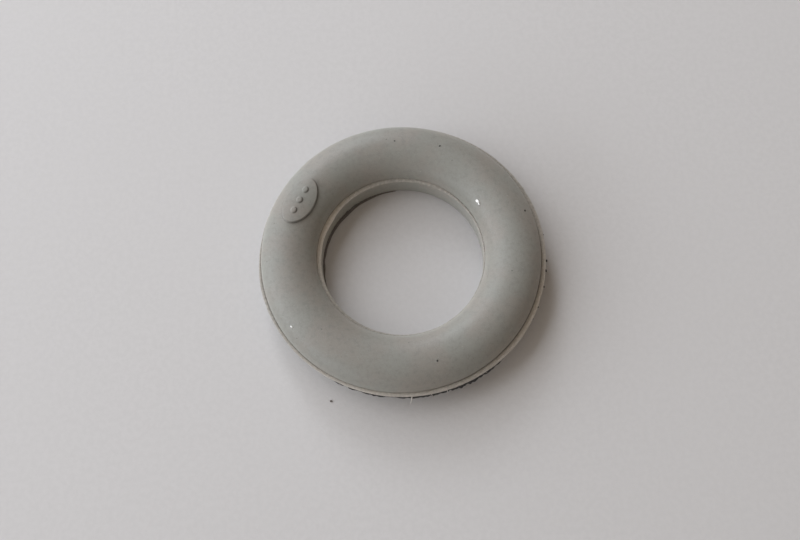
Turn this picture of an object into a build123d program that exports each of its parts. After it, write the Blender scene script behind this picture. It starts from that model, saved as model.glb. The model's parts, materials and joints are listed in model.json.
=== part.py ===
from build123d import *

import os

# Rubber grommet: one moulded ring that lines a hole or sits round a tube.
#
# Lengths are in millimetres. Z is the axis of the bore, the flat foot lies on
# Z = 0, and the half-round crown points to +Z. The origin is the centre of the
# bore at the foot. The ring comes out of two mould halves that meet at the
# parting height. The upper half sits slightly off the bore's axis, so the
# ledge at the parting line is wide inside on one side and outside on the other.

# Driving dimensions
bore_diameter = 18.0
outer_diameter = 31.6
parting_height = 2.7  # from the foot to the line where the mould halves meet
crown_height = 2.7  # from the parting line to the top of the half-round crown

ledge_width = 0.32  # how far the crown stands back from the lower half
mould_shift = 0.22  # how far the upper half is off the axis of the bore
mould_shift_angle = 150.5  # direction of that shift, degrees from +X

rim_land = 0.3  # straight edge of the rim, just under the parting line
foot_edge_radius = 0.35  # rounding where the bore meets the foot
foot_width = 3.1  # flat part of the foot, from that rounding outwards

pad_angle = 150.5  # where the raised pad sits on the crown, degrees from +X
pad_length = 5.6  # round the ring
pad_width = 3.3  # across the ring
pad_height = 0.25  # above the crown

pip_count = 3
pip_diameter = 0.7
pip_spacing = 1.35  # along the pad
pip_height = 0.14  # above the pad

post_headroom = 1.0  # how far a post stands clear of the crown before it is trimmed to it

# Sizes that follow from them
bore_radius = bore_diameter / 2
rim_radius = outer_diameter / 2
crown_radius = (bore_radius + rim_radius) / 2
crown_half_width = (rim_radius - bore_radius) / 2 - ledge_width
foot_outer_radius = bore_radius + foot_edge_radius + foot_width
land_height = parting_height - rim_land

upper_axis = Rot(0, 0, mould_shift_angle) * Pos(mould_shift, 0, 0) * Rot(0, 0, -mould_shift_angle)
pad_place = upper_axis * Rot(0, 0, pad_angle) * Pos(crown_radius, 0, parting_height)


def lower_half():
    """The ring below the parting line: a straight bore, a flat foot and a rim that rounds in under."""
    underside = EllipticalCenterArc(
        (foot_outer_radius, land_height),
        rim_radius - foot_outer_radius,
        land_height,
        start_angle=270,
        arc_size=90,
    )
    foot_edge = CenterArc((bore_radius + foot_edge_radius, foot_edge_radius), foot_edge_radius, 180, 90)
    outline = [
        underside,
        Line((rim_radius, land_height), (rim_radius, parting_height)),
        Line((rim_radius, parting_height), (bore_radius, parting_height)),
        Line((bore_radius, parting_height), (bore_radius, foot_edge_radius)),
        foot_edge,
        Line((bore_radius + foot_edge_radius, 0), (foot_outer_radius, 0)),
    ]
    return revolve(Plane.XZ * make_face(outline), Axis.Z)


def raised_crown(lift):
    """A half-round ring on the parting line, as if the crown's surface were raised by lift."""
    width = crown_half_width + lift
    height = crown_height + lift
    centre = (crown_radius, parting_height)
    arch = EllipticalCenterArc(centre, width, height, start_angle=0, arc_size=180)
    base = Line((crown_radius - width, parting_height), (crown_radius + width, parting_height))
    return upper_axis * revolve(Plane.XZ * make_face([arch, base]), Axis.Z)


def trimmed_post(outline, lift):
    """A post with the given outline, trimmed so that it ends lift above the crown and follows its curve."""
    post = extrude(outline, crown_height + post_headroom)
    return (pad_place * post) & raised_crown(lift)


def pad():
    """The oval pad on the crown, with its long axis round the ring."""
    return trimmed_post(Ellipse(pad_width / 2, pad_length / 2), pad_height)


def pips():
    """A row of round pips along the pad."""
    outlines = GridLocations(0, pip_spacing, 1, pip_count) * Circle(pip_diameter / 2)
    return [trimmed_post(outline, pad_height + pip_height) for outline in outlines]


def grommet():
    """The whole ring: both mould halves, the pad and its pips in one solid."""
    ring = lower_half() + raised_crown(0) + pad()
    for pip in pips():
        ring += pip
    return ring


os.makedirs("parts", exist_ok=True)
export_step(grommet(), "parts/grommet.step")
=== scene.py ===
"""Rubber grommet: one moulded ring with a raised pad, torn flash and soil on its rim, and a plain stage."""

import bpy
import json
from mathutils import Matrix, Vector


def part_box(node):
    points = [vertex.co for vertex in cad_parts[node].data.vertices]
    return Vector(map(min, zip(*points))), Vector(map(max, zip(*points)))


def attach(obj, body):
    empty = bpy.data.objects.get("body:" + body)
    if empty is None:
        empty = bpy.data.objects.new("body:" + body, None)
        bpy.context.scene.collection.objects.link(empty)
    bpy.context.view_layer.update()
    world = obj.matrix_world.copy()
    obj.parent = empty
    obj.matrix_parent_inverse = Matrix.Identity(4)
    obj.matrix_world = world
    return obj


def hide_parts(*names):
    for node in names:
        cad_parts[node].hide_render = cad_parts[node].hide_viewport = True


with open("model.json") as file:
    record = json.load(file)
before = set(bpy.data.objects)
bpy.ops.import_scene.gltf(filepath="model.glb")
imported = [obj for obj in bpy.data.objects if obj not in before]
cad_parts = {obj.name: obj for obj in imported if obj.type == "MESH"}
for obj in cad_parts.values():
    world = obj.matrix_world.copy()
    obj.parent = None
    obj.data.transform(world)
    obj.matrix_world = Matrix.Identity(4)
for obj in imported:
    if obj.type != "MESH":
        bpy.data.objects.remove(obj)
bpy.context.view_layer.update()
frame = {"record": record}

import json
import math

import bpy
import numpy as np
from bpy.props import FloatProperty, FloatVectorProperty, IntProperty, PointerProperty
from mathutils import Matrix, Vector

bl_info = {
    "name": "Rubber grommet",
    "version": (1, 0, 0),
    "blender": (4, 5, 0),
    "location": "3D View > Sidebar > Grommet",
    "description": "Builds a moulded rubber grommet with its pad, torn flash, soil and specks",
    "category": "Add Mesh",
}

MM = 0.001
LOW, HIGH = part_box("grommet")
BORE = next(mount for mount in frame["record"]["mounts"] if mount["name"] == "bore")
FOOT_EDGE = 0.35 * MM
PAD_HEIGHT = 0.25 * MM
PIP_HEIGHT = 0.14 * MM
PARTING = BORE["dims"]["length_mm"] * MM + FOOT_EDGE
CROWN_HEIGHT = HIGH.z - PARTING - PAD_HEIGHT - PIP_HEIGHT

# Seeds of the random waves and grains
OUTER_FLASH_SEED = 11
INNER_FLASH_SEED = 23
LEDGE_SEED = 5
SKIN_SEED = 3
RIM_SOIL_SEED = 40
BORE_SHADE_SEED = 70
CRUMBS_SEED = 60
DARK_SPECKS_SEED = 80
GLINT_SEED = 95
GRIT_SEED = 33


# Properties ---------------------------------------------------------------------------------


def length(name, description, default):
    """A length in metres that a user can change."""
    return FloatProperty(name=name, description=description, default=default, unit="LENGTH", precision=5)


def angle(name, description, degrees):
    """An angle, given in degrees, that a user can change."""
    return FloatProperty(name=name, description=description, default=math.radians(degrees), subtype="ANGLE")


def share(name, description, default):
    """A number between nothing and one."""
    return FloatProperty(
        name=name, description=description, default=default, min=0, max=1, subtype="FACTOR"
    )


def colour(name, description, default):
    """A linear colour."""
    return FloatVectorProperty(
        name=name, description=description, default=default, size=3, min=0, max=1, subtype="COLOR"
    )


def power(name, description, watts):
    """A light's power that a user can change."""
    return FloatProperty(name=name, description=description, default=watts, unit="POWER")


class GrommetSizes(bpy.types.PropertyGroup):
    """Sizes of the moulded ring."""

    bore: length("Bore radius", "Radius of the straight bore", BORE["dims"]["r_mm"] * MM)
    rim: length("Rim radius", "Outer radius of the lower half", (HIGH.x - LOW.x) / 2)
    parting: length("Parting height", "Height of the line where the mould halves meet", PARTING)
    crown: length("Crown height", "Top of the crown above the parting line", CROWN_HEIGHT)
    ledge: length("Ledge width", "How far the crown stands back from the lower half", 0.32 * MM)
    shift: length("Mould shift", "How far the upper half is off the bore's axis", 0.22 * MM)
    shift_angle: angle("Shift direction", "Direction of the mould shift, from +X", 150.5)
    land: length("Rim land", "Straight edge of the rim under the parting line", 0.3 * MM)
    foot_edge: length("Foot edge", "Rounding where the bore meets the foot", FOOT_EDGE)
    foot: length("Foot width", "Flat part of the foot", 3.1 * MM)
    crease: length("Crease depth", "Groove between the crown and the ledge", 0.05 * MM)


class PadSizes(bpy.types.PropertyGroup):
    """Sizes of the oval pad on the crown."""

    place: angle("Pad angle", "Where the pad sits on the crown, from +X", 150.5)
    half_width: length("Half width", "Half of the pad across the ring", 1.65 * MM)
    half_length: length("Half length", "Half of the pad round the ring", 2.8 * MM)
    height: length("Height", "Pad above the crown", PAD_HEIGHT)
    edge: length("Edge rounding", "Rounding of the pad's top edge", 0.07 * MM)
    fillet: length("Root fillet", "Hollow rounding at the pad's root", 0.035 * MM)
    pips: IntProperty(name="Pips", description="Round pips along the pad", default=3, min=0)
    pip_radius: length("Pip radius", "Radius of a pip", 0.35 * MM)
    pip_spacing: length("Pip spacing", "Distance between pips along the pad", 1.35 * MM)
    pip_height: length("Pip height", "Pip above the pad", PIP_HEIGHT)


class GrommetLook(bpy.types.PropertyGroup):
    """Colours and finish."""

    rubber: colour("Rubber", "Grey of the moulded skin", (0.325, 0.325, 0.298))
    rubber_warm: colour("Warm rubber", "Warmer grey that clouds the skin", (0.335, 0.314, 0.284))
    ledge: colour("Ledge", "Paler torn rubber along the parting line", (0.540, 0.510, 0.465))
    # A lit copy of the ledge's colour: painted fill light, laid on the ledge where it lies in shade.
    painted_lit_ledge: colour(
        "Bright ledge", "Palest torn rubber, where the mould shift bares it", (0.82, 0.78, 0.72)
    )
    # Real dirt under the rim and in the dark specks; the same colour also paints shade in the outer crease,
    # along the feet of pad and pips, and at the bore's foot.
    soil_and_shade: colour("Soil", "Dark dirt in the crease and under the rim", (0.018, 0.016, 0.015))
    # Colour of the crust that paints shade at the bore's foot; the grain of grit on the table takes it too.
    bore_shade_crust: colour("Bore soil", "Dirt packed at the foot of the bore", (0.120, 0.104, 0.094))
    dust: colour("Dust", "Pale dust grains", (0.520, 0.510, 0.480))
    roughness: share("Roughness", "Roughness of the moulded skin", 0.5)
    floor: colour("Floor", "Matt table top", (0.610, 0.602, 0.606))


class StageSettings(bpy.types.PropertyGroup):
    """Camera and lights."""

    distance: length("Camera distance", "From the camera to the foot's plane", 124.0 * MM)
    elevation: angle("Camera elevation", "Height of the view above the horizon", 70.7)
    roll: angle("Camera roll", "Turn of the camera about its own line of sight", 3.1)
    lens: FloatProperty(name="Lens", description="Focal length in millimetres", default=49.5)
    key: power("Key", "Power of the window's light", 4.2)
    key_colour: colour("Key colour", "Slightly cool daylight", (0.905, 0.945, 1.0))
    lamp: power("Lamp", "Power of the small lamp behind", 0.60)
    wall: power("Wall", "Power of the light off a wall at the left", 1.5)
    ambient: FloatProperty(name="Ambient", description="Strength of the room's light", default=0.27)
    ambient_colour: colour("Ambient colour", "Warm light of the room", (1.0, 0.835, 0.67))


# Numbers over whole arrays --------------------------------------------------------------------


def polar(radius, turn, height):
    """Points at a radius, an angle and a height, as an array whose last axis is x, y, z."""
    radius, turn, height = np.broadcast_arrays(radius, turn, height)
    return np.stack([radius * np.cos(turn), radius * np.sin(turn), height], axis=-1)


def smoothstep(x, low, high):
    """3t^2 - 2t^3, where t runs from 0 at low to 1 at high."""
    t = np.clip((x - low) / (high - low), 0, 1)
    return t * t * (3 - 2 * t)


def ripple(turn, seed, slowest, fastest):
    """A wave round the ring: cosines of slowest to fastest whole turns with random phases, of unit size."""
    rng = np.random.default_rng(seed)
    turns = np.arange(slowest, fastest + 1)
    sizes = turns ** -0.5 * rng.uniform(0.4, 1.0, turns.size)
    phases = rng.uniform(0, 2 * np.pi, turns.size)
    wave = (sizes * np.cos(turn[..., None] * turns + phases)).sum(axis=-1)
    return wave / math.sqrt((sizes**2).sum() / 2)


def bump(turn, centre, width):
    """A bell round the ring, exp(-(angle from centre / width)^2), with both given in degrees."""
    away = (turn - math.radians(centre) + np.pi) % (2 * np.pi) - np.pi
    return np.exp(-((away / math.radians(width)) ** 2))


def clouds(points, seed, wavelength):
    """A smooth random field: sine waves in random directions through space, of unit size."""
    count = 12
    rng = np.random.default_rng(seed)
    directions = rng.normal(size=(count, 3))
    directions /= np.linalg.norm(directions, axis=1, keepdims=True)
    waves = directions * (2 * np.pi / wavelength) * rng.uniform(0.7, 1.5, (count, 1))
    phases = rng.uniform(0, 2 * np.pi, count)
    return np.sin(points @ waves.T + phases).sum(axis=-1) / math.sqrt(count / 2)


# Meshes ---------------------------------------------------------------------------------------


def grid_faces(rows, columns, close_rows):
    """Quads between neighbouring points of a grid whose columns go all the way round."""
    row = np.arange(rows if close_rows else rows - 1)[:, None]
    column = np.arange(columns)[None, :]
    after_row = (row + 1) % rows
    after_column = (column + 1) % columns
    corners = [
        row * columns + column,
        row * columns + after_column,
        after_row * columns + after_column,
        after_row * columns + column,
    ]
    return np.stack([np.broadcast_to(c, (row.size, columns)) for c in corners], axis=-1).reshape(-1, 4)


def new_object(name, points, faces):
    """A mesh object in the scene, from rows of x, y, z and rows of corner numbers."""
    mesh = bpy.data.meshes.new(name)
    mesh.from_pydata(points.tolist(), [], faces)
    made = bpy.data.objects.new(name, mesh)
    bpy.context.scene.collection.objects.link(made)
    return made


def make_piece(name, grids, close_rows=False):
    """One smooth mesh object from grids of points that have the same number of rows and columns.

    The first and last rows of a grid are capped where they aren't joined to each other.
    """
    rows, columns, _ = grids[0].shape
    sides = grid_faces(rows, columns, close_rows)
    caps = np.array([np.arange(columns)[::-1], np.arange((rows - 1) * columns, rows * columns)])
    faces = []
    for number in range(len(grids)):
        start = number * rows * columns
        faces += (sides + start).tolist()
        if not close_rows:
            faces += (caps + start).tolist()
    piece = new_object(name, np.concatenate([grid.reshape(-1, 3) for grid in grids]), faces)
    piece.data.shade_smooth()
    return piece


def give_attribute(piece, name, values):
    """Stores one number per point of the mesh for its material to read."""
    attribute = piece.data.attributes.new(name, "FLOAT", "POINT")
    attribute.data.foreach_set("value", np.ascontiguousarray(values, dtype=np.float32).ravel())


def finish_piece(piece, material):
    """Gives a piece its material and the body that it rides on."""
    piece.data.materials.append(material)
    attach(piece, "root")


# The ring's shape -----------------------------------------------------------------------------


class Ring:
    """The moulding's measures, and the places on it that other pieces start from."""

    def __init__(self, sizes, pad):
        self.sizes, self.pad = sizes, pad
        self.centre = (sizes.bore + sizes.rim) / 2
        self.half = (sizes.rim - sizes.bore) / 2 - sizes.ledge
        self.offset = polar(sizes.shift, sizes.shift_angle, 0.0)

    def crown_height(self, radius, lift):
        """Height of the crown at a radius from its own axis; lift makes its ellipse larger all round."""
        across = np.clip((radius - self.centre) / (self.half + lift), -1, 1)
        return self.sizes.parting + (self.sizes.crown + lift) * np.sqrt(1 - across**2)

    def on_crown(self, degrees, slope):
        """A point of the crown, at an angle round the ring and an angle from its top, outwards positive."""
        slope = np.radians(slope)
        radius = self.centre + self.half * np.sin(slope)
        height = self.sizes.parting + self.sizes.crown * np.cos(slope)
        return polar(radius, np.radians(degrees), height) + self.offset

    def outer_flash(self, turn):
        """How far the torn lip stands out from the rim: a ragged wave and a few longer tongues."""
        ragged = 0.5 + 0.5 * ripple(turn, OUTER_FLASH_SEED, 20, 160)
        lip = 0.018 * MM + 0.016 * MM * ragged
        tongues = 0.15 * bump(turn, 190, 14) + 0.07 * bump(turn, 214, 16) + 0.05 * bump(turn, 318, 18)
        return lip + MM * tongues - 0.03 * MM * bump(turn, 350, 12) + 0.02 * MM * bump(turn, 27.5, 1.2)

    def inner_flash(self, turn):
        """How far the torn lip stands into the bore; negative where the edge is broken back."""
        ragged = ripple(turn, INNER_FLASH_SEED, 12, 120)
        lip = 0.008 * MM + 0.008 * MM * ragged
        tongue = 0.12 * bump(turn, 150, 7)
        broken_left = 0.17 * bump(turn, 200, 17)
        broken_back = 0.05 * bump(turn, 85, 25)
        return lip + MM * (tongue - broken_left - broken_back)


INNER_RINGS = 34  # rings of points from the pad's middle to just inside its outline
EDGE_RINGS = 5  # over the pad's rounded top edge
ROOT_RINGS = 4  # over the hollow rounding at its root
OUTER_RINGS = 14  # from there to where the grid is even again
REACH = 1.7  # the even grid starts at this many half widths and half lengths
INNER_SHARE = 0.94  # how much of the outline the innermost group of rings fills
SIDE_ROWS = 12  # rows on each side of the even grid, out to the crown's creases
COLUMNS = 240  # columns round the ring, outside the even grid
ROUNDING_SLACK = 1.001  # keeps the outermost even row inside in spite of rounding


def pad_rings(pad):
    """The pad's section as rings about its middle: shrink of the outline, distance outside it, and lift.

    Inside, the outline shrinks to the middle at full height. A quarter circle rounds the top edge, an
    upright wall follows, and a hollow quarter circle brings the lift to nothing.
    """
    inside = np.linspace(0, INNER_SHARE, INNER_RINGS)
    top = np.linspace(0, np.pi / 2, EDGE_RINGS)
    root = np.linspace(0, np.pi / 2, ROOT_RINGS)
    reach = (REACH - 1) * pad.half_width
    outside = np.linspace(pad.fillet, reach, OUTER_RINGS + 1)[1:]
    draft = 0.012 * MM
    shrink = np.concatenate([inside, np.ones(EDGE_RINGS + ROOT_RINGS + OUTER_RINGS)])
    away = np.concatenate([
        np.zeros(INNER_RINGS),
        pad.edge * (np.sin(top) - 1) - draft,
        pad.fillet * (1 - np.cos(root)),
        outside,
    ])
    lift = np.concatenate([
        np.full(INNER_RINGS, pad.height),
        pad.height - pad.edge * (1 - np.cos(top)),
        pad.fillet * (1 - np.sin(root)),
        np.zeros(OUTER_RINGS),
    ])
    return shrink, away, lift


def even_grid(ring, last, turn_outside):
    """The crown's grid before the pad bends it; the pad's part of it goes last steps each way.

    Returns the angle of each column, the steps of each point round and across from the pad's middle, and
    each point's place across and along the pad.
    """
    pad = ring.pad
    steps = np.arange(-last, last + 1)
    side = REACH * pad.half_width / ring.half
    slopes = np.linspace(np.arcsin(side), np.pi / 2, SIDE_ROWS + 1)[1:]
    beyond = ring.half * np.sin(slopes)
    even_across = REACH * pad.half_width * steps / last
    across = np.concatenate([-beyond[::-1], even_across, beyond])[::-1]
    ends = np.full(SIDE_ROWS, last)
    step_across = np.concatenate([-ends, steps, ends])[::-1]
    even_turn = pad.place + REACH * pad.half_length * steps / last / ring.centre
    turn = np.concatenate([even_turn, turn_outside])
    step_round = np.concatenate([steps, np.full(turn_outside.size, last + 1)])

    column, row = np.meshgrid(step_round, step_across)
    radius = ring.centre + np.broadcast_to(across[:, None], column.shape)
    from_pad = np.broadcast_to(turn[None, :], column.shape) - pad.place
    base = np.stack([radius * np.cos(from_pad) - ring.centre, radius * np.sin(from_pad)], axis=-1)
    return turn, column, row, base


def oval_points(pad, column, row, level, shrink, away):
    """Carries square rings of grid points to the pad's oval, each the same share of the way round.

    The oval is shrunk by shrink, and moved outwards by away, square to its edge.
    """
    eighth = np.pi / 4
    safe = np.maximum(level, 1)
    angle_row = eighth * column / safe * np.sign(row) + np.where(row < 0, np.pi, 0)
    angle_column = np.pi / 2 * np.sign(column) - eighth * row / safe * np.sign(column)
    way = np.where(abs(row) >= abs(column), angle_row, angle_column)
    oval = np.stack([pad.half_width * np.cos(way), pad.half_length * np.sin(way)], axis=-1)
    normal = np.stack([np.cos(way) / pad.half_width, np.sin(way) / pad.half_length], axis=-1)
    normal /= np.linalg.norm(normal, axis=-1, keepdims=True)
    return oval * shrink[..., None] + normal * away[..., None]


def pad_relief(pad, plan, raised, root_distance):
    """Adds the pips to the pad's height, and says how dark the painted shade lines at the foot of pad and
    pips are.

    The pad's painted shade is darkest towards the bore, the side turned away from the window, and a pip's
    line shows only on that side.
    """
    line = 0.06 * MM
    bore_side = smoothstep(-plan[..., 0], -0.3 * pad.half_width, 0.6 * pad.half_width)
    # painted shade along the pad's foot, heavier on the bore's side
    root = np.exp(-((root_distance / line) ** 2)) * (0.25 + 0.75 * bore_side)
    for index in range(pad.pips):
        along = (index - (pad.pips - 1) / 2) * pad.pip_spacing
        distance = np.hypot(plan[..., 0], plan[..., 1] - along)
        pip_side = smoothstep(-plan[..., 0], -0.5 * pad.pip_radius, 0.6 * pad.pip_radius)
        # painted shade along each pip's foot, on the bore's side only
        root = np.maximum(root, np.exp(-(((distance - 1.02 * pad.pip_radius) / line) ** 2)) * pip_side)
        pip = 1 - smoothstep(distance, 0.66 * pad.pip_radius, 1.04 * pad.pip_radius)
        raised = raised + pad.pip_height * pip
    return raised, root


def crown_grid(ring, turn_outside):
    """The crown as rows from its outer crease to its inner one, with rings of points round the pad.

    Far from the pad the grid is even in the angle round the ring and in the distance across it. Close to
    the pad each square ring of grid points is carried to the matching offset of the pad's oval, and the
    two are blended in between, so that the oval's edge runs along the grid. Returns the points, the
    angle of each column, and how dark the painted shade lines at the foot of the pad and the pips are.
    """
    pad = ring.pad
    shrink, away, lift = pad_rings(pad)
    last = shrink.size - 1
    turn, column, row, base = even_grid(ring, last, turn_outside)

    level = np.maximum(abs(column), abs(row))
    inside = (level <= last) & (abs(base[..., 0]) <= REACH * pad.half_width * ROUNDING_SLACK)
    level = np.minimum(level, last)
    near = oval_points(pad, column, row, level, shrink[level], away[level])
    weight = np.where(inside, smoothstep(level, last - OUTER_RINGS, last), 1)[..., None]
    plan = near * (1 - weight) + base * weight

    at_root = inside & (shrink[level] == 1)
    root_distance = np.where(at_root, away[level] - pad.fillet, np.inf)
    raised, root = pad_relief(pad, plan, np.where(inside, lift[level], 0), root_distance)

    radius = np.hypot(plan[..., 0] + ring.centre, plan[..., 1])
    around = np.arctan2(plan[..., 1], plan[..., 0] + ring.centre) + pad.place
    points = polar(radius, around, ring.crown_height(radius, raised)) + ring.offset
    points[0, :, 2] -= ring.sizes.crease * crease_spread(turn)
    return points, turn, root


def lower_rows(ring, turn, crown):
    """The ring under the parting line, as rows from the crown's inner crease round to its outer one.

    Each row has a radius and a height. They follow the ledge inwards, over its torn lip, down the bore,
    round the foot's edge, out along the foot, up the quarter ellipse of the underside to the rim, over
    the outer lip and back along the ledge. Points on the two ledges lie between the crown's crease,
    which is about the upper half's axis, and the lip, which is about the bore's.
    """
    sizes = ring.sizes
    top = sizes.parting
    edge = 0.03 * MM
    lip_depth = 0.11 * MM
    inner_lip = sizes.bore - ring.inner_flash(turn)
    outer_lip = sizes.rim + ring.outer_flash(turn)
    foot_start = sizes.bore + sizes.foot_edge
    foot_outer = foot_start + sizes.foot
    land = top - sizes.land
    ledge_wave = 0.012 * MM * ripple(turn, LEDGE_SEED, 3, 60)
    ledge_height = top + ledge_wave

    def row(radius, height):
        return polar(radius, turn, height)

    def ledge(start, lip, shares, groove):
        """Rows from a crease to a lip, by share of the way; they rise out of the groove into a low bead."""
        end = row(lip, ledge_height)
        rows = [start * (1 - s) + end * s for s in shares]
        for points, s in zip(rows, shares):
            sunk = groove * (1 - smoothstep(s, 0.2, 0.55))
            bead = 0.05 * MM * math.sin(math.pi * s)
            points[:, 2] = ledge_height - sunk + bead
        return rows

    def lip_rows(lip, side, quarter):
        """Rows over a lip's rounded edge; side is 1 for the bore's lip and -1 for the rim's."""
        rounded = [(side * edge * (1 - np.sin(q)), edge * (1 - np.cos(q))) for q in quarter]
        return [row(lip + back, ledge_height - down) for back, down in rounded]

    shares = (0.07, 0.16, 0.3, 0.5, 0.7, 0.88)
    rows = ledge(crown[-1], inner_lip + edge, shares, 0.0)
    rows += lip_rows(inner_lip, 1, np.linspace(0, np.pi / 2, 5))
    rows += [row(inner_lip, top - 0.6 * lip_depth)]
    rows += [row((inner_lip + sizes.bore) / 2, top - 0.9 * lip_depth)]
    rows += [row(np.maximum(sizes.bore, inner_lip * 0.4 + sizes.bore * 0.6), top - 1.4 * lip_depth)]
    rows += [row(sizes.bore, height) for height in np.linspace(top - 2.4 * lip_depth, sizes.foot_edge, 9)]
    for q in np.linspace(0, np.pi / 2, 8)[1:]:
        radius = sizes.bore + sizes.foot_edge * (1 - np.cos(q))
        rows += [row(radius, sizes.foot_edge * (1 - np.sin(q)))]
    rows += [row(radius, 0.0) for radius in np.linspace(foot_start, foot_outer, 6)[1:-1]]
    for q in np.linspace(0, np.pi / 2, 15):
        rows += [row(foot_outer + (sizes.rim - foot_outer) * np.sin(q), land * (1 - np.cos(q)))]
    rows += [row(sizes.rim, top - 2.0 * lip_depth)]
    rows += [row(sizes.rim, top - 1.15 * lip_depth)]
    rows += [row(outer_lip * 0.8 + sizes.rim * 0.2, top - 0.95 * lip_depth)]
    rows += [row(outer_lip, top - 0.75 * lip_depth)]
    rows += lip_rows(outer_lip, -1, np.linspace(np.pi / 2, 0, 5))
    rows += ledge(crown[0], outer_lip - edge, shares[::-1], sizes.crease * crease_spread(turn))
    return np.stack(rows)


def ring_piece(ring):
    """The whole moulding as one closed surface, with the masks that its material reads."""
    top = ring.sizes.parting
    reach = REACH * ring.pad.half_length / ring.centre
    first = ring.pad.place + reach
    last = ring.pad.place + 2 * np.pi - reach
    crown, turn, root = crown_grid(ring, np.linspace(first, last, COLUMNS + 2)[1:-1])
    points = np.concatenate([crown, lower_rows(ring, turn, crown)])
    skin = clouds(points, SKIN_SEED, 5.0 * MM) * 0.006 * MM
    points[..., 2] += skin * smoothstep(points[..., 2], top, top + 1.2 * MM)
    piece = make_piece("moulded_ring", [points], close_rows=True)
    give_masks(piece, ring, points, turn, root)
    return piece


def give_masks(piece, ring, points, turn, root):
    """Stores where the ring is ledge, where painted fill light lightens the ledge, where painted shade
    darkens the outer crease and the line at the pad's foot, and where soil under the rim and painted shade
    at the bore's foot darken it.
    """
    top = ring.sizes.parting
    height = points[..., 2]
    crown_rows = root.shape[0]
    lower = np.arange(points.shape[0])[:, None] >= crown_rows
    outside = np.hypot(points[..., 0], points[..., 1]) > ring.centre

    on_ledge = lower & (height > top - 0.12 * MM)
    give_attribute(piece, "ledge", on_ledge.astype(float))
    # painted fill light on the ledge where it lies in shade
    give_attribute(piece, "painted_ledge_light", on_ledge * np.where(outside, outer_ledge_light(turn), inner_ledge_light(turn)))

    # Painted shade: the outer crease is darkened, fading out a few hundredths of a millimetre up the crown,
    # and so are the ledge's last two rows next to it.
    above = np.clip((height - top) / MM, 0, None)
    crease = np.where(~lower & outside, np.exp(-above / 0.05), 0)
    crease[-2:] = np.array([0.45, 1.0])[:, None]  # the ledge's last rows, next to the crown
    give_attribute(piece, "crease", crease * crease_spread(turn))

    # painted shade along the feet of pad and pips
    relief = np.zeros(height.shape)
    relief[:crown_rows] = root
    give_attribute(piece, "relief", relief)

    below_lip = lower & (height < top - 0.1 * MM)
    under_rim = below_lip & outside
    soiled = smoothstep(height, top - 1.6 * MM, top - 0.3 * MM) * soil_spread(turn)
    # Painted shade at the bore's foot: darker towards the bottom, and heaviest on the window's side, where
    # the bore's wall faces away from the light.
    bore_foot = below_lip & ~outside
    shaded = (1 - smoothstep(height, 0.1 * MM, 1.3 * MM)) * np.clip(0.25 + bump(turn, 155, 50), 0, 1)
    give_attribute(piece, "soil_and_shade", under_rim * soiled + 0.45 * bore_foot * shaded)


def inner_ledge_light(turn):
    """How much painted fill light lightens the inner ledge round the ring: most on the window's side, where
    the crown shades it and the mould shift makes it widest.
    """
    return np.clip(1.1 * bump(turn, 160, 34), 0, 1)


def outer_ledge_light(turn):
    """How much painted fill light lightens the outer ledge round the ring: most at the front right, the
    side turned away from the window, and less at the front left.
    """
    return np.clip(0.75 * bump(turn, 335, 34) + 0.45 * bump(turn, 250, 34), 0, 1)


def crease_spread(turn):
    """How deep the outer crease is round the ring, and how much painted shade darkens it: most at the front
    right, the side turned away from the window.
    """
    return np.clip(0.12 + bump(turn, 335, 48), 0, 1)


def soil_spread(turn):
    """How dark the rim's soil is round the ring: most at the front, and nothing at the back."""
    degrees = np.degrees(turn) % 360
    main = smoothstep(degrees, 238, 262) * (1 - smoothstep(degrees, 302, 312))
    return np.clip(main + 0.3 * bump(turn, 335, 30), 0, 1)


# Small pieces ---------------------------------------------------------------------------------


SECTION_POINTS = 12  # points round the section of a tube of soil


def soil_grid(ring, first, last, height, depth, seed):
    """A crust of soil under the rim's lip: a flattened tube whose height and depth vary raggedly.

    Its section is an ellipse, tapered almost to a point at both ends and roughened by waves round the ring.
    """
    steps = max(24, int((last - first) * 6))
    turn = np.radians(np.linspace(first, last, steps))
    run = np.linspace(0, 1, turn.size)
    taper = np.sin(np.pi * run) ** 0.45 + 0.02
    tall = height * taper * np.clip(0.85 + 0.12 * ripple(turn, seed, 30, 160), 0.4, 1.3)
    deep = depth * taper * np.clip(0.85 + 0.22 * ripple(turn, seed + 1, 30, 220), 0.3, 1.5)
    section = np.linspace(0, -2 * np.pi, SECTION_POINTS, endpoint=False)
    middle = ring.sizes.parting - 0.10 * MM - tall / 2
    radius = ring.sizes.rim - 0.02 * MM + deep[:, None] * np.cos(section)
    level = middle[:, None] + tall[:, None] / 2 * np.sin(section)
    return polar(radius, turn[:, None], level)


def bore_shade_grid(ring, first, last, height, depth, seed):
    """Painted shade at the foot of the bore, as a dark crust: a flattened tube, tapered and uneven like the
    rim's soil.
    """
    steps = int((last - first) * 5)
    turn = np.radians(np.linspace(first, last, steps))
    taper = np.sin(np.pi * np.linspace(0, 1, turn.size)) ** 0.6 + 0.02
    tall = height * taper * np.clip(0.9 + 0.08 * ripple(turn, seed, 8, 60), 0.5, 1.3)
    deep = depth * taper * np.clip(0.9 + 0.07 * ripple(turn, seed + 1, 4, 36), 0.5, 1.3)
    section = np.linspace(0, 2 * np.pi, SECTION_POINTS, endpoint=False)
    radius = ring.sizes.bore + 0.06 * MM - deep[:, None] * np.cos(section)
    level = tall[:, None] / 2 * (1 + np.sin(section)) + 0.002 * MM
    return polar(radius, turn[:, None], level)


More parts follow.
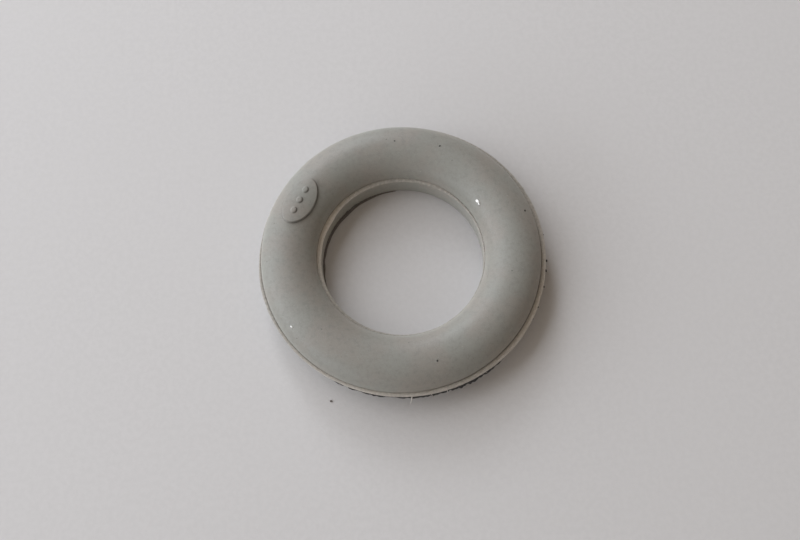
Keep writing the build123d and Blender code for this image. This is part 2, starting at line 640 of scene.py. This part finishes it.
def blob(centre, size, seed):
    """An uneven grain: a sphere of latitudes and longitudes, stretched to size and dented by waves."""
    rng = np.random.default_rng(seed)
    latitude = np.linspace(-0.49 * np.pi, 0.49 * np.pi, 8)[:, None]
    longitude = np.linspace(0, 2 * np.pi, 12, endpoint=False)[None, :]
    phases = rng.uniform(0, 2 * np.pi, 3)
    dents = 1 + 0.16 * np.sin(2 * longitude + phases[0])
    dents = dents + 0.12 * np.sin(3 * longitude + 2 * latitude + phases[1])
    dents = dents + 0.08 * np.cos(5 * longitude + phases[2])
    shape = polar(np.cos(latitude) * dents, longitude, np.sin(latitude))
    return np.asarray(centre) + shape * np.asarray(size)


def laid_blob(ring, degrees, slope, size, seed):
    """A grain lying on the crown: a blob turned so that its height is square to the crown's surface."""
    sink = 0.3
    grain = blob((0, 0, 0), size, seed)
    point = ring.on_crown(degrees, slope)
    tilt = math.radians(slope)
    around = math.radians(degrees)
    outward = np.array([math.cos(around), math.sin(around), 0.0])
    along = np.array([-math.sin(around), math.cos(around), 0.0])
    up = np.array([0.0, 0.0, 1.0])
    normal = math.sin(tilt) * outward + math.cos(tilt) * up
    across = math.cos(tilt) * outward - math.sin(tilt) * up
    axes = np.stack([across, along, normal])
    return point + grain @ axes + normal * size[2] * (1 - 2 * sink)


def hair(start, middle, end, thickness):
    """A tapering hair: a round tube along the parabola through its start and end, pulled towards middle."""
    steps, sides = 14, 6
    t = np.linspace(0, 1, steps)[:, None]
    start, middle, end = (np.asarray(p, float) for p in (start, middle, end))
    line = start * (1 - t) ** 2 + 2 * middle * t * (1 - t) + end * t**2
    ahead = np.gradient(line, axis=0)
    ahead /= np.linalg.norm(ahead, axis=1, keepdims=True)
    side = np.cross(ahead, (0.0, 0.0, 1.0))
    side /= np.linalg.norm(side, axis=1, keepdims=True)
    up = np.cross(side, ahead)
    turn = np.linspace(0, -2 * np.pi, sides, endpoint=False)
    radius = thickness / 2 * (1 - 0.85 * t) * np.ones((1, sides))
    sideways = np.cos(turn)[None, :, None] * side[:, None]
    upwards = np.sin(turn)[None, :, None] * up[:, None]
    return line[:, None] + radius[..., None] * (sideways + upwards)


# Shaders --------------------------------------------------------------------------------------


class Value:
    """A shader socket that adds Math nodes when Python arithmetic is done on it."""

    def __init__(self, graph, socket):
        self.graph, self.socket = graph, socket

    def _math(self, operation, a, b):
        return self.graph.node("ShaderNodeMath", {"operation": operation}, [a, b])

    def __add__(self, other):
        return self._math("ADD", self, other)

    def __sub__(self, other):
        return self._math("SUBTRACT", self, other)

    def __mul__(self, other):
        return self._math("MULTIPLY", self, other)

    def __rsub__(self, other):
        return self._math("SUBTRACT", other, self)

    __radd__ = __add__
    __rmul__ = __mul__


class Graph:
    """The nodes of a material or of the world, written as expressions."""

    def __init__(self, material):
        material.use_nodes = True
        self.tree = material.node_tree
        self.tree.nodes.clear()

    def node(self, kind, settings=None, inputs=(), output=0):
        """Adds a node, makes its settings, fills or links its sockets and returns one of its outputs."""
        node = self.tree.nodes.new(kind)
        for name, value in (settings or {}).items():
            setattr(node, name, value)
        pairs = inputs.items() if isinstance(inputs, dict) else enumerate(inputs)
        for key, value in pairs:
            socket = node.inputs[key]
            if isinstance(value, Value):
                self.tree.links.new(value.socket, socket)
            else:
                socket.default_value = value
        return Value(self, node.outputs[output]) if len(node.outputs) else node

    def place(self):
        """Object coordinates."""
        return self.node("ShaderNodeTexCoord", output="Object")

    def attribute(self, name):
        """A number stored on the mesh."""
        return self.node("ShaderNodeAttribute", {"attribute_name": name}, output="Fac")

    def noise(self, place, size, detail=2.0, roughness=0.5):
        """Noise whose features are about size across, in metres."""
        inputs = {"Vector": place, "Scale": 1 / size, "Detail": detail, "Roughness": roughness}
        return self.node("ShaderNodeTexNoise", None, inputs)

    def cells(self, place, size, output="Distance"):
        """Distance to the nearest of scattered points, in cells, or that cell's own random colour."""
        return self.node("ShaderNodeTexVoronoi", None, {"Vector": place, "Scale": 1 / size}, output)

    def between(self, value, low, high):
        """Nothing at low, one at high, and smooth in between."""
        inputs = {"Value": value, "From Min": low, "From Max": high}
        return self.node("ShaderNodeMapRange", {"interpolation_type": "SMOOTHSTEP"}, inputs)

    def mix(self, factor, first, second):
        """A colour between two others."""
        inputs = {0: factor, 6: rgba(first), 7: rgba(second)}
        return self.node("ShaderNodeMix", {"data_type": "RGBA"}, inputs, output=2)

    def bump(self, height, distance, normal=None):
        """A normal tilted by a height of nothing to one, worth distance metres."""
        inputs = {"Height": height, "Distance": distance}
        if normal is not None:
            inputs["Normal"] = normal
        return self.node("ShaderNodeBump", None, inputs)

    def specks(self, place, size, edge, chosen, channel):
        """One inside small scattered specks: their edge in cells, and the share of the cells left bare."""
        distance = self.cells(place, size)
        colours = self.cells(place, size, "Color")
        picked = self.node("ShaderNodeSeparateColor", None, [colours], output=channel)
        return (1 - self.between(distance, *edge)) * self.between(picked, *chosen)

    def surface(self, **inputs):
        """The Principled shader, joined to the output; an underscore in a name stands for a space."""
        named = {key.replace("_", " "): value for key, value in inputs.items()}
        shader = self.node("ShaderNodeBsdfPrincipled", None, named)
        self.node("ShaderNodeOutputMaterial", None, [shader])


def rgba(value):
    """A colour with its alpha, or a socket as it is."""
    return value if isinstance(value, Value) else (*value, 1.0)


def shaded(tint, factor):
    """A colour made darker or lighter by a factor."""
    return tuple(min(1.0, factor * c) for c in tint)


def new_material(name):
    """A new material with its graph and its object coordinates."""
    material = bpy.data.materials.new(name)
    graph = Graph(material)
    return material, graph, graph.place()


def rubber_material(look):
    """Moulded grey rubber: clouded, finely grained, paler where torn, painted fill light on its shaded
    ledge, painted shade in its crease, at the pad's feet and the bore's foot, soil under the rim, lightly
    dusty.
    """
    material, g, place = new_material("grey_rubber")
    names = ("ledge", "painted_ledge_light", "crease", "soil_and_shade", "relief")
    ledge, painted_ledge_light, crease, soil_and_shade, relief = (g.attribute(name) for name in names)

    clouding = g.noise(place, 4.5 * MM, 3.0)
    body = g.mix(g.between(clouding, 0.38, 0.62), look.rubber, look.rubber_warm)
    mottle = g.noise(place, 0.5 * MM, 4.0, 0.6)
    body = g.mix(g.between(mottle, 0.42, 0.72) * 0.6, body, shaded(look.rubber, 0.82))
    grain = g.noise(place, 0.12 * MM, 2.0)
    body = g.mix(g.between(grain, 0.45, 0.75) * 0.38, body, shaded(look.rubber, 1.22))

    tear = g.noise(place, 0.3 * MM, 4.0, 0.65)
    torn = g.mix(g.between(tear, 0.35, 0.7), shaded(look.ledge, 0.7), look.ledge)
    body = g.mix(ledge * 0.9, body, torn)
    # painted fill light: the ledge lightened towards a lit copy of its colour where it lies in shade
    body = g.mix(painted_ledge_light * (0.5 + 0.5 * tear), body, look.painted_lit_ledge)

    dusty = g.specks(place, 0.85 * MM, (0.05, 0.085), (0.70, 0.72), 0)
    body = g.mix(dusty * 0.55, body, look.dust)
    dark = g.specks(place, 1.3 * MM, (0.04, 0.07), (0.62, 0.64), 1)
    body = g.mix(dark * 0.4, body, look.soil_and_shade)

    # Soil under the rim, and painted shade at the bore's foot, broken up by noise.
    dirt_and_shade = g.between(soil_and_shade + g.noise(place, 0.25 * MM, 4.0) - 0.5, 0.25, 0.5)
    # painted shade in the outer crease
    body = g.mix(crease * 0.58, body, look.soil_and_shade)
    # painted shade along the feet of pad and pips
    body = g.mix(relief * (0.4 + 0.5 * mottle), body, look.soil_and_shade)
    body = g.mix(dirt_and_shade * 0.92, body, look.soil_and_shade)

    rough = look.roughness + 0.12 * (mottle - 0.5) + 0.2 * ledge
    fine = g.noise(place, 0.05 * MM, 3.0)
    height = 0.5 * mottle + 0.3 * grain + 0.2 * fine
    normal = g.bump(height, 0.012 * MM)
    torn_normal = g.bump(tear * ledge, 0.06 * MM, normal)
    g.surface(
        Base_Color=body, Roughness=rough, Normal=torn_normal, Specular_IOR_Level=0.45, Diffuse_Roughness=1.0
    )
    return material


def dirt_and_shade_material(name, dirt):
    """Dark crumbling dirt of a colour; the same crust also paints shade at the bore's foot."""
    material, g, place = new_material(name)
    crumbs = g.noise(place, 0.12 * MM, 4.0, 0.65)
    body = g.mix(g.between(crumbs, 0.45, 0.75), dirt, shaded(dirt, 2.2))
    g.surface(Base_Color=body, Roughness=0.75 + 0.2 * (crumbs - 0.5), Normal=g.bump(crumbs, 0.05 * MM))
    return material


def pale_material(look):
    """Pale torn rubber and lint."""
    material, g, place = new_material("pale_lint")
    streaks = g.noise(place, 0.15 * MM, 3.0)
    body = g.mix(g.between(streaks, 0.3, 0.7), shaded(look.ledge, 0.8), look.ledge)
    g.surface(Base_Color=body, Roughness=0.6 + 0.1 * (streaks - 0.5), Normal=g.bump(streaks, 0.02 * MM))
    return material


def glint_material():
    """A glossy white bead that paints a highlight on the crown."""
    material, g, place = new_material("painted_glint")
    cloud = g.noise(place, 0.2 * MM, 2.0)
    body = g.mix(g.between(cloud, 0.3, 0.7), (0.86, 0.86, 0.85), (0.93, 0.93, 0.92))
    g.surface(Base_Color=body, Roughness=0.22 + 0.1 * cloud, Normal=g.bump(cloud, 0.01 * MM))
    return material


def floor_material(look):
    """A matt pale table top with a very faint grain."""
    material, g, place = new_material("matt_table")
    grain = g.noise(place, 0.6 * MM, 4.0, 0.6)
    drift = g.noise(place, 22 * MM, 2.0)
    body = g.mix(g.between(grain, 0.35, 0.65), shaded(look.floor, 0.965), look.floor)
    body = g.mix(g.between(drift, 0.3, 0.7) * 0.4, body, shaded(look.floor, 0.985))
    g.surface(Base_Color=body, Roughness=0.85, Normal=g.bump(grain, 0.02 * MM), Specular_IOR_Level=0.25)
    return material


# Operators ------------------------------------------------------------------------------------


def the_ring(context):
    """The ring's measures from the scene's settings."""
    return Ring(context.scene.grommet_sizes, context.scene.grommet_pad)


class GROMMET_OT_ring(bpy.types.Operator):
    """Build the moulded ring with its pad and ledge"""

    bl_idname = "grommet.ring"
    bl_label = "Moulded ring"

    def execute(self, context):
        piece = ring_piece(the_ring(context))
        finish_piece(piece, rubber_material(context.scene.grommet_look))
        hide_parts("grommet")
        return {"FINISHED"}


class GROMMET_OT_soil(bpy.types.Operator):
    """Build the dark crust under the rim and the crumbs along it, and a crust of painted shade at the
    bore's foot
    """

    bl_idname = "grommet.soil"
    bl_label = "Soil under the rim"

    def execute(self, context):
        ring = the_ring(context)
        look = context.scene.grommet_look
        material = dirt_and_shade_material("dark_soil", look.soil_and_shade)
        # first and last degree round the ring, height and depth in millimetres
        runs = (
            (239.5, 244.0, 0.50, 0.12),
            (245.0, 249.5, 0.50, 0.12),
            (250.5, 261.5, 0.60, 0.15),
            (263.5, 287.0, 0.75, 0.17),
            (280.0, 311.0, 0.95, 0.24),
        )
        for number, (first, last, height, depth) in enumerate(runs, 1):
            grid = soil_grid(ring, first, last, height * MM, depth * MM, RIM_SOIL_SEED + 2 * number)
            finish_piece(make_piece(f"rim_soil_{number}", [grid]), material)
        # Painted shade: a dark crust along the foot of the bore, on its window's side.
        foot = bore_shade_grid(ring, 92.0, 206.0, 0.20 * MM, 0.36 * MM, BORE_SHADE_SEED)
        finish_piece(make_piece("bore_shade_crust", [foot]), dirt_and_shade_material("bore_painted_shade", look.bore_shade_crust))
        low = ring.sizes.parting - 0.25 * MM
        # degrees round the ring, size in millimetres
        spots = ((6.3, 0.07), (355.2, 0.16), (351.0, 0.15), (344.2, 0.12), (335.3, 0.10), (330.0, 0.07))
        crumbs = []
        for number, (degrees, size) in enumerate(spots):
            centre = polar(ring.sizes.rim + 0.07 * MM, math.radians(degrees), low)
            crumbs.append(blob(centre, (size * MM * 0.8, size * MM, size * MM), CRUMBS_SEED + number))
        finish_piece(make_piece("rim_crumbs", crumbs), material)
        return {"FINISHED"}


class GROMMET_OT_lint(bpy.types.Operator):
    """Build the short hairs of torn rubber at the parting line"""

    bl_idname = "grommet.lint"
    bl_label = "Torn hairs"

    def execute(self, context):
        ring = the_ring(context)
        top = ring.sizes.parting
        rim = ring.sizes.rim
        hairs = []
        # degrees round the ring, reach and drop in millimetres, swing in degrees, thickness in millimetres
        for degrees, reach, drop, swing, thickness in (
            (180.8, 0.34, 0.10, 0.6, 0.05),
            (189.1, 0.36, 0.12, -0.8, 0.05),
            (270.6, 0.66, 0.95, -0.9, 0.16),
            (278.2, 0.30, 0.55, 0.8, 0.09),
            (284.5, 0.34, 0.60, -0.6, 0.09),
            (301.0, 0.24, 0.35, 0.8, 0.06),
            (27.9, 0.22, 0.05, 0.5, 0.06),
        ):
            start = polar(rim - 0.03 * MM, math.radians(degrees), top - 0.10 * MM)
            middle = polar(rim + 0.6 * reach * MM, math.radians(degrees), top - 0.12 * MM)
            end = polar(rim + reach * MM, math.radians(degrees + swing), top - drop * MM)
            hairs.append(hair(start, middle, end, thickness * MM))
        finish_piece(make_piece("torn_hairs", hairs), pale_material(context.scene.grommet_look))
        return {"FINISHED"}


class GROMMET_OT_specks(bpy.types.Operator):
    """Build the dark specks that lie on the crown, and white beads that paint highlights on it"""

    bl_idname = "grommet.specks"
    bl_label = "Specks on the crown"

    def execute(self, context):
        ring = the_ring(context)
        # degrees round the ring, degrees from the crown's top, size in millimetres
        dark = (
            (90.0, 6, 0.075), (67.0, 8, 0.095), (15.0, 40, 0.12), (284.0, 16, 0.10), (344.0, -2, 0.05),
            (225.0, 0, 0.045), (94.0, 12, 0.04),
        )
        grains = [
            laid_blob(
                ring, degrees, slope, (size * MM, size * MM, 0.4 * size * MM), DARK_SPECKS_SEED + number
            )
            for number, (degrees, slope, size) in enumerate(dark)
        ]
        grit = dirt_and_shade_material("dark_grit", context.scene.grommet_look.soil_and_shade)
        finish_piece(make_piece("dark_specks", grains), grit)
        # Painted highlights: glossy white beads where the crown shows small glints.
        # degrees round the ring, degrees from the crown's top, size across and along in millimetres
        glint_spots = ((30.5, -45, 0.17, 0.26), (28.6, -46, 0.10, 0.14), (214.0, 43, 0.10, 0.14))
        glint_beads = [
            laid_blob(
                ring, degrees, slope, (across * MM, along * MM, 0.09 * MM), GLINT_SEED + number
            )
            for number, (degrees, slope, across, along) in enumerate(glint_spots)
        ]
        finish_piece(make_piece("painted_glints", glint_beads), glint_material())
        return {"FINISHED"}


class GROMMET_OT_stage(bpy.types.Operator):
    """Build the table top, the lights and the camera"""

    bl_idname = "grommet.stage"
    bl_label = "Stage"

    def execute(self, context):
        scene = context.scene
        make_floor(scene.grommet_look)
        make_lights(scene.grommet_stage, scene.grommet_look)
        make_camera(scene.grommet_stage)
        return {"FINISHED"}


def make_floor(look):
    """A flat round floor, wide enough to reach the horizon, and one grain of grit on it."""
    reach = 4.0
    turn = np.linspace(0, 2 * np.pi, 64, endpoint=False)
    floor = new_object("table_top", polar(reach, turn, 0.0), [list(range(turn.size))])
    floor.data.materials.append(floor_material(look))
    grain = blob((-8.6 * MM, -15.25 * MM, 0.05 * MM), (0.13 * MM, 0.13 * MM, 0.06 * MM), GRIT_SEED)
    grit = make_piece("table_grit", [grain])
    # The grit is a real grain, in the same dark brown as the bore's painted shade.
    grit.data.materials.append(dirt_and_shade_material("table_grit", look.bore_shade_crust))


def point_at(position, target):
    """The turn that points an object's -Z axis from a position at a target."""
    return (Vector(target) - Vector(position)).to_track_quat("-Z", "Y")


LIGHT_DISTANCE = 0.50  # from every light to the ring, in metres


def area_light(name, azimuth, elevation, size, watts, tint):
    """A rectangular area light, of a width and a height, that looks at the ring from a direction."""
    a, e = math.radians(azimuth), math.radians(elevation)
    direction = Vector((math.cos(a) * math.cos(e), math.sin(a) * math.cos(e), math.sin(e)))
    position = direction * LIGHT_DISTANCE
    data = bpy.data.lights.new(name, "AREA")
    data.shape = "RECTANGLE"
    data.size, data.size_y = size
    data.energy, data.color = watts, tint
    lamp = bpy.data.objects.new(name, data)
    lamp.location = position
    lamp.rotation_mode = "QUATERNION"
    lamp.rotation_quaternion = point_at(position, (0, 0, 0))
    bpy.context.scene.collection.objects.link(lamp)


def make_lights(stage, look):
    """A wide window, a lamp behind, a low wall at the left, and the room's light and plain background."""
    tint = stage.key_colour
    area_light("window", 148, 32, (1.00, 0.56), stage.key, tint)
    area_light("lamp", 104, 28, (0.13, 0.13), stage.lamp, tint)
    area_light("wall", 207, 13, (0.80, 0.20), stage.wall, tint)
    world = bpy.data.worlds.new("room")
    world.use_nodes = True
    bpy.context.scene.world = world
    g = Graph(world)
    path = g.tree.nodes.new("ShaderNodeLightPath")
    rays = ("Is Camera Ray", "Is Glossy Ray", "Is Transmission Ray")
    camera_ray, glossy_ray, clear_ray = (Value(g, path.outputs[name]) for name in rays)
    plain = g.node("ShaderNodeMath", {"operation": "MINIMUM"}, [camera_ray + glossy_ray + clear_ray, 1.0])
    room_light = {"Color": rgba(stage.ambient_colour), "Strength": stage.ambient}
    room = g.node("ShaderNodeBackground", None, room_light)
    backdrop = g.node("ShaderNodeBackground", None, {"Color": rgba(look.floor), "Strength": 1.0})
    both = g.node("ShaderNodeMixShader", None, [plain, room, backdrop])
    g.node("ShaderNodeOutputWorld", None, [both])


def make_camera(stage):
    """A camera in front of the ring and above it, turned a little about its own line of sight."""
    data = bpy.data.cameras.new("camera")
    data.lens = stage.lens
    data.clip_start = 5 * MM
    camera = bpy.data.objects.new("camera", data)
    look_from = Vector((0, -math.cos(stage.elevation), math.sin(stage.elevation))) * stage.distance
    aim = Vector((-0.37 * MM, -0.63 * MM, 0))
    camera.matrix_world = (
        Matrix.Translation(look_from + aim)
        @ point_at(look_from, (0, 0, 0)).to_matrix().to_4x4()
        @ Matrix.Rotation(-stage.roll, 4, "Z")
    )
    bpy.context.scene.collection.objects.link(camera)
    bpy.context.scene.camera = camera
    bpy.context.scene.view_settings.view_transform = "Standard"


class GROMMET_PT_panel(bpy.types.Panel):
    """The grommet's operators and settings"""

    bl_idname = "GROMMET_PT_panel"
    bl_label = "Rubber grommet"
    bl_space_type = "VIEW_3D"
    bl_region_type = "UI"
    bl_category = "Grommet"

    def draw(self, context):
        for operator in OPERATORS:
            self.layout.operator(operator.bl_idname)
        for group in GROUPS:
            settings = getattr(context.scene, group)
            box = self.layout.box()
            for name in settings.__annotations__:
                box.prop(settings, name)


OPERATORS = (GROMMET_OT_ring, GROMMET_OT_soil, GROMMET_OT_lint, GROMMET_OT_specks, GROMMET_OT_stage)
GROUPS = {
    "grommet_sizes": GrommetSizes,
    "grommet_pad": PadSizes,
    "grommet_look": GrommetLook,
    "grommet_stage": StageSettings,
}


def register():
    """Registers the classes and hangs the settings on the scene."""
    for item in (*GROUPS.values(), *OPERATORS, GROMMET_PT_panel):
        bpy.utils.register_class(item)
    for name, group in GROUPS.items():
        setattr(bpy.types.Scene, name, PointerProperty(type=group))


def unregister():
    """Takes the settings and the classes away again."""
    for name in GROUPS:
        delattr(bpy.types.Scene, name)
    for item in reversed((*GROUPS.values(), *OPERATORS, GROMMET_PT_panel)):
        bpy.utils.unregister_class(item)


def main():
    register()
    for operator in OPERATORS:
        group, name = operator.bl_idname.split(".")
        getattr(getattr(bpy.ops, group), name)()
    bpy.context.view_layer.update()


if __name__ == "__main__":
    main()
